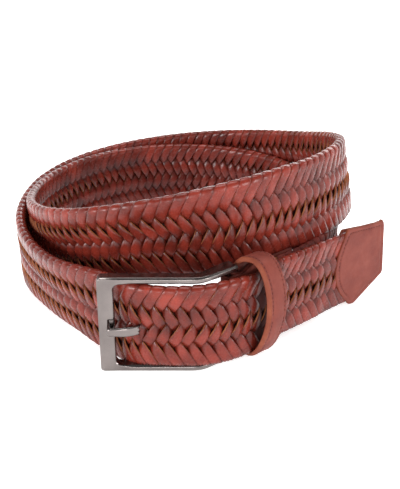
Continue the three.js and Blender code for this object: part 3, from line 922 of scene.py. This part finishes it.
# Buckle tab
def tab_line():
    """The middle of the tab's leather in plan: along the outer leaf, round the hinge and back."""
    turn, offset, gap = np.array(TAB_ROUTE).T
    stations = route_place(turn, offset)[0]
    middle = np.concatenate([[hinge], stations])
    ahead = [middle[1:2] - middle[:1], middle[2:] - middle[:-2], middle[-1:] - middle[-2:-1]]
    ahead = unit(np.concatenate(ahead))
    side = np.column_stack([ahead[:, 1], -ahead[:, 0]])
    reach = (gap + TAB_LEAF / 2)[:, None]
    outer, inner = stations + side[1:] * reach, stations - side[1:] * reach
    radius = HINGE_RADIUS + CLEARANCE + TAB_LEAF / 2
    begin = math.atan2(side[0][1], side[0][0])
    angle = begin - np.linspace(0.0, math.pi, 13)
    fold = hinge + radius * np.column_stack([np.cos(angle), np.sin(angle)])
    return np.concatenate([curve_through(outer, 5)[::-1], fold, curve_through(inner, 5)])


def buckle_tab():
    line = tab_line()
    ahead = heading(TAB_DEGREES)[0][:2]
    reach = (line - hinge) @ ahead
    trim = np.interp(reach, *np.array(TAB_TRIM).T)
    low = TAB_BOTTOM + np.maximum(trim, 0.0)
    high = TAB_TOP - trim
    rows = []
    for t in np.linspace(0.0, 1.0, 6)[:-1]:
        rows.append(low + (TAB_SLOT[0] - low) * t)
    for t in np.linspace(0.0, 1.0, 4)[:-1]:
        rows.append(np.full_like(low, TAB_SLOT[0] + (TAB_SLOT[1] - TAB_SLOT[0]) * t))
    for t in np.linspace(0.0, 1.0, 8):
        rows.append(TAB_SLOT[1] + (high - TAB_SLOT[1]) * t)
    points = np.stack([np.column_stack([line, row]) for row in rows])
    columns = len(line)
    faces = []
    for row in range(len(rows) - 1):
        for column in range(columns - 1):
            opened = 5 <= row < 8 and max(reach[column], reach[column + 1]) < TAB_SLOT_LENGTH
            if not opened:
                a = row * columns + column
                faces.append((a, a + 1, a + 1 + columns, a + columns))
    piece = add_piece("buckle_tab_fold", points, faces, (plain, thread), "buckle_tab")
    thicken = piece.modifiers.new("thickness", "SOLIDIFY")
    thicken.thickness = TAB_LEAF * MM
    thicken.offset = 0.0
    thicken.material_offset_rim = 1
    soften = piece.modifiers.new("edges", "BEVEL")
    soften.width = TAB_EDGE * MM
    soften.segments = 2
    soften.limit_method = "ANGLE"
    soften.angle_limit = math.radians(50)
    # Stitches through both leaves where they hold the strap between them
    for name, leaf in (("outer", line[::-1]), ("inner", line)):
        sewn = leaf[(leaf - hinge) @ ahead > TAB_NECK_LENGTH][-len(line) // 3:]
        forward = unit(np.gradient(sewn, axis=0))
        facing = np.column_stack([forward[:, 1], -forward[:, 0]]) * (1.0 if name == "outer" else -1.0)
        sewn = sewn + facing * TAB_LEAF / 2
        run = run_along(sewn)
        last = run[-1] - TAB_SEAM
        bottom = TAB_BOTTOM + TAB_FLANGE_TRIM + TAB_SEAM
        top = TAB_TOP - TAB_FLANGE_TRIM - TAB_SEAM
        along = np.concatenate([np.linspace(0.0, last, 20), np.full(20, last), np.linspace(last, 0.0, 20)])
        up = np.concatenate([np.full(20, bottom), np.linspace(bottom, top, 20), np.full(20, top)])
        columns = [np.interp(along, run, sewn[:, k]) for k in range(2)]
        outs = [np.interp(along, run, facing[:, k]) for k in range(2)]
        seam = (np.column_stack([*columns, up]), np.column_stack([*outs, 0 * up]))
        stitches(f"buckle_tab_{name}_stitches", [seam], "buckle_tab")


buckle_tab()


# Buckle
def frame_plan(run, depth):
    """Plan places on the buckle frame: run along its bent face from the left, depth behind it."""
    ahead = heading(FRAME_BEND_DEGREES)[0][:2]
    corner = np.array([FRAME_BEND, FRAME_FACE])
    t = np.linspace(0.0, 1.0, 12)[:, None]
    start, end = corner - [FRAME_BEND_ROUND, 0.0], corner + ahead * FRAME_BEND_ROUND
    bent = start * (1 - t) ** 2 + 2 * corner * t * (1 - t) + end * t**2
    line = np.concatenate([[[FRAME_LEFT, FRAME_FACE]], bent, [corner + ahead * 60.0]])
    lengths = run_along(line)
    step = 0.6

    def on(at):
        return np.stack([np.interp(at, lengths, line[:, 0]), np.interp(at, lengths, line[:, 1])], -1)

    tangent = unit(on(run + step) - on(np.maximum(run - step, 0.0)))
    inward = np.stack([-tangent[..., 1], tangent[..., 0]], -1)
    return on(run) + inward * depth[..., None]


def buckle_frame():
    ahead, out = heading(FRAME_BEND_DEGREES)
    from_corner = hinge - np.array([FRAME_BEND, FRAME_FACE])
    reach = from_corner @ ahead[:2] + SIDE_BAR_END
    deep = SIDE_BAR_END - from_corner @ out[:2]
    straight = FRAME_BEND - FRAME_LEFT
    curve = frame_plan(np.array([straight]), np.array([0.0]))[0]
    shorter = np.linalg.norm(curve - [FRAME_BEND, FRAME_FACE])
    end = straight + reach - shorter * 0.9
    turn = np.linspace(0.0, math.pi / 2, 9)[1:-1]
    window = FRONT_BAR_WIDTH + WINDOW_CORNER
    bars = np.linspace(end, window, 40)
    top = FRAME_TOP
    bottom = FRAME_BOTTOM
    ceiling = top - SIDE_BAR_HEIGHT
    half = (top + bottom) / 2
    # The top half of the frame, by its outside and its inside, and then the lower half as its mirror
    outer, inner = [], []
    for run in bars:
        outer.append((run, top))
        inner.append((run, ceiling))
    square = [(window * (1 - t), top) for t in np.linspace(0.0, 1 - FRAME_CORNER / window, 4)[1:]]
    square += [
        (FRAME_CORNER * (1 - math.sin(a)), top - FRAME_CORNER * (1 - math.cos(a))) for a in turn
    ]
    square += [(0.0, top - FRAME_CORNER - k) for k in (0.0, 1.2)]
    arc = np.linspace(0.0, math.pi / 2, len(square) + 2)[1:-1]
    outer += square
    inner += [
        (window - WINDOW_CORNER * math.sin(a), ceiling - WINDOW_CORNER * (1 - math.cos(a))) for a in arc
    ]
    for height in np.linspace(ceiling - WINDOW_CORNER, half, 26):
        outer.append((0.0, height))
        inner.append((FRONT_BAR_WIDTH, height))
    mirrored = [(run, 2 * half - height) for run, height in outer[-2::-1]]
    outer += mirrored
    inner += [(run, 2 * half - height) for run, height in inner[-2::-1]]
    outer, inner = np.array(outer), np.array(inner)
    width = np.linalg.norm(inner - outer, axis=1)
    across = (inner - outer) / width[:, None]
    run = inner[:, 0]
    depth = FRONT_BAR_DEPTH + (SIDE_BAR_DEPTH - FRONT_BAR_DEPTH) * smooth(FRONT_BAR_WIDTH, window, run)
    depth = depth + (deep - SIDE_BAR_DEPTH) * smooth(straight, end - 2 * SIDE_BAR_END, run)
    seat = SEAT_DEPTH * (1 - smooth(SEAT_HALF - 2 * SEAT_SLOPE, SEAT_HALF, np.abs(outer[:, 1] - SEAT_MIDDLE)))
    seat = seat * (run < FRONT_BAR_WIDTH + 0.01)
    chamfer = np.where(outer[:, 0] < 0.01, FRONT_CHAMFER, SIDE_CHAMFER)
    inner_edge = EDGE + (SIDE_INNER_EDGE - EDGE) * smooth(window, window + 5.0, run)
    none = np.zeros_like(width)
    # Distance in from the outside, and depth behind the face
    section = (
        (none, none + CHAMFER_DEPTH),
        (chamfer, none),
        (np.maximum(width - SEAT_WIDTH - SEAT_SLOPE, chamfer + 0.1), none),
        (np.maximum(width - SEAT_WIDTH, chamfer + 0.2), seat),
        (width - inner_edge, seat),
        (width, seat + inner_edge),
        (width, depth - EDGE),
        (width - EDGE, depth),
        (none + EDGE, depth),
        (none, depth - EDGE),
    )
    rings = []
    for distance, behind in section:
        face = outer + across * distance[:, None]
        rings.append(np.column_stack([frame_plan(face[:, 0], behind), face[:, 1]]))
    points = np.stack(rings, axis=1)
    faces = skin(len(outer), len(section))
    points = points.reshape(-1, 3)
    # The round hinge bar
    sides = 32
    angle = np.arange(sides) * 2 * math.pi / sides
    pin = []
    for height in (bottom + SIDE_BAR_HEIGHT / 2, top - SIDE_BAR_HEIGHT / 2):
        round_line = hinge + HINGE_RADIUS * np.column_stack([np.cos(angle), np.sin(angle)])
        pin.append(np.column_stack([round_line, np.full(sides, height)]))
    faces += renumbered(skin(2, sides), len(points))
    points = np.concatenate([points, *pin])
    piece = add_piece(
        "buckle_frame_metal", points, faces, (gunmetal,), "buckle_frame", smoothed=False
    )
    soften = piece.modifiers.new("edges", "BEVEL")
    soften.width = 0.16 * MM
    soften.segments = 3
    soften.limit_method = "ANGLE"
    soften.angle_limit = math.radians(25)


buckle_frame()


def buckle_tongue():
    line = curve_through(TONGUE_ROUTE, 8)
    ahead = unit(np.gradient(line, axis=0))
    out = np.column_stack([-ahead[:, 1], ahead[:, 0]])
    run = run_along(line)
    left = run[-1] - run
    height = TONGUE_HEIGHT + (TONGUE_TIP_HEIGHT - TONGUE_HEIGHT) * (1 - smooth(0.0, TONGUE_TAPER, left))
    blunt = np.sqrt(np.clip(1 - (1 - np.clip(left / TONGUE_ROUND, 0.0, 1.0)) ** 2, 0.06, 1.0))
    sides = 20
    angle = np.arange(sides) * 2 * math.pi / sides
    power = 2 / TONGUE_SQUARENESS
    level = np.sign(np.cos(angle)) * np.abs(np.cos(angle)) ** power
    rise = np.sign(np.sin(angle)) * np.abs(np.sin(angle)) ** power
    across = (TONGUE_THICKNESS / 2 * blunt)[:, None] * level
    up = (height / 2 * blunt)[:, None] * rise
    plan = line[:, None, :] + out[:, None, :] * across[..., None]
    points = np.concatenate([plan, (TONGUE_MIDDLE + up)[..., None]], axis=-1)
    faces = skin(len(line), sides)
    points = points.reshape(-1, 3)
    # The eye round the hinge
    inner = HINGE_RADIUS + CLEARANCE
    outer = inner + TONGUE_EYE_WALL
    half = TONGUE_HEIGHT / 2
    cut = TONGUE_EYE_EDGE
    profile = ((inner, cut - half), (inner + cut, -half), (outer - cut, -half), (outer, cut - half))
    profile += ((outer, half - cut), (outer - cut, half), (inner + cut, half), (inner, half - cut))
    steps = 40
    eye = []
    for i in range(steps):
        turn = 2 * math.pi * i / steps
        for radius, rise_here in profile:
            place = hinge + radius * np.array([math.cos(turn), math.sin(turn)])
            eye.append((*place, TONGUE_MIDDLE + rise_here))
    faces += renumbered(skin(steps, len(profile), looped=True), len(points))
    points = np.concatenate([points, np.array(eye)])
    add_piece("buckle_tongue_metal", points, faces, (gunmetal,), "buckle_tongue")


buckle_tongue()


# Floor, light and camera
def floor():
    mesh = bpy.data.meshes.new("floor")
    angle = np.arange(FLOOR_SIDES) * 2 * math.pi / FLOOR_SIDES
    rings = [np.column_stack([r * np.cos(angle), r * np.sin(angle), 0 * angle + z]) for r, z in FLOOR_PROFILE]
    faces = skin(len(FLOOR_PROFILE), FLOOR_SIDES)[:-1]
    mesh.from_pydata(np.concatenate(rings).tolist(), [], faces)
    mesh.polygons.foreach_set("use_smooth", [True] * (len(faces) - 1) + [False])
    made = bpy.data.objects.new("floor", mesh)
    made.location.z = -FLOOR_DROP
    bpy.context.scene.collection.objects.link(made)
    material = bpy.data.materials.new("pale_floor")
    material.use_nodes = True
    shader = material.node_tree.nodes["Principled BSDF"]
    shader.inputs["Base Color"].default_value = (FLOOR_TONE, FLOOR_TONE, FLOOR_TONE, 1.0)
    shader.inputs["Roughness"].default_value = 0.9
    shader.inputs["Specular IOR Level"].default_value = 0.1
    shader.inputs["Emission Color"].default_value = (1.0, 1.0, 1.0, 1.0)
    shader.inputs["Emission Strength"].default_value = FLOOR_GLOW
    mesh.materials.append(material)


floor()


def area_light(name, place, target, size, power):
    data = bpy.data.lights.new(name, "AREA")
    data.shape = "RECTANGLE"
    data.size, data.size_y = size
    data.energy = power
    made = bpy.data.objects.new(name, data)
    made.location = place
    made.rotation_euler = (Vector(target) - Vector(place)).to_track_quat("-Z", "Y").to_euler()
    bpy.context.scene.collection.objects.link(made)


for light in LIGHTS:
    area_light(*light)

world = bpy.data.worlds.new("studio")
world.use_nodes = True
world.node_tree.nodes["Background"].inputs["Color"].default_value = (1.0, 1.0, 1.0, 1.0)
world.node_tree.nodes["Background"].inputs["Strength"].default_value = SKY
bpy.context.scene.world = world
bpy.context.scene.view_settings.view_transform = "Standard"

camera = bpy.data.cameras.new("camera")
camera.lens = CAMERA_LENS
camera.sensor_width = CAMERA_SENSOR
viewer = bpy.data.objects.new("camera", camera)
viewer.location = (np.array(CAMERA_PLACE) + COIL_CENTRE) * MM
viewer.rotation_euler = (math.radians(90.0 - CAMERA_TILT), 0.0, 0.0)
bpy.context.scene.collection.objects.link(viewer)
bpy.context.scene.camera = viewer
